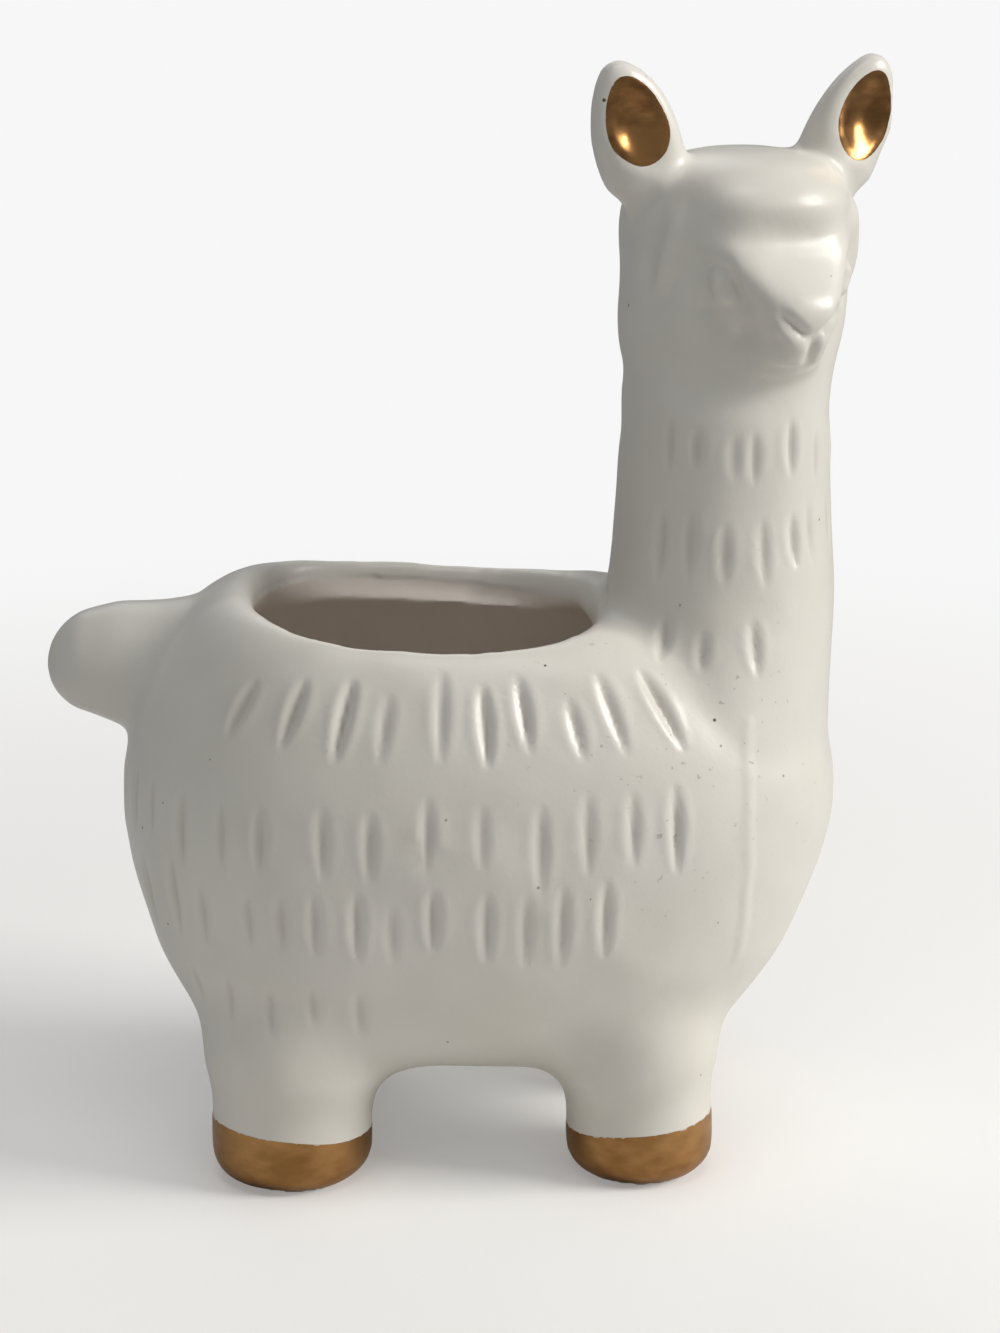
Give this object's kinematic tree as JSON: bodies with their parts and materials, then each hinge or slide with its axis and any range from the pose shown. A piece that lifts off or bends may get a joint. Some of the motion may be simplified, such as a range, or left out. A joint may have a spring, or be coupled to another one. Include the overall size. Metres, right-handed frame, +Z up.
{
  "type": "animal shaped planter",
  "caption": "Small llama shaped ceramic planter with an open pot in its back, a turned head, ears with gold insides and gold hooves",
  "frame": {"origin": "middle of the planter's length and width, on the plane its four feet stand on", "axes": "+X to the animal's front, +Y to its left, +Z up"},
  "size_m": [0.1294, 0.0752, 0.1695],
  "materials": {
    "white_ceramic": "satin white glaze with soft highlights and small dark specks",
    "gold_paint": "hand painted bronze gold, satin on the hooves and shinier in the ears"
  },
  "bodies": {
    "root": {"body_pot": "white_ceramic", "neck": "white_ceramic", "head": "white_ceramic", "right_ear": "white_ceramic", "left_ear": "white_ceramic", "right_ear_gilding": "gold_paint", "left_ear_gilding": "gold_paint", "tail": "white_ceramic", "front_right_leg": "white_ceramic", "front_left_leg": "white_ceramic", "rear_right_leg": "white_ceramic", "rear_left_leg": "white_ceramic", "front_right_hoof_gilding": "gold_paint", "front_left_hoof_gilding": "gold_paint", "rear_right_hoof_gilding": "gold_paint", "rear_left_hoof_gilding": "gold_paint"}
  },
  "joints": []
}
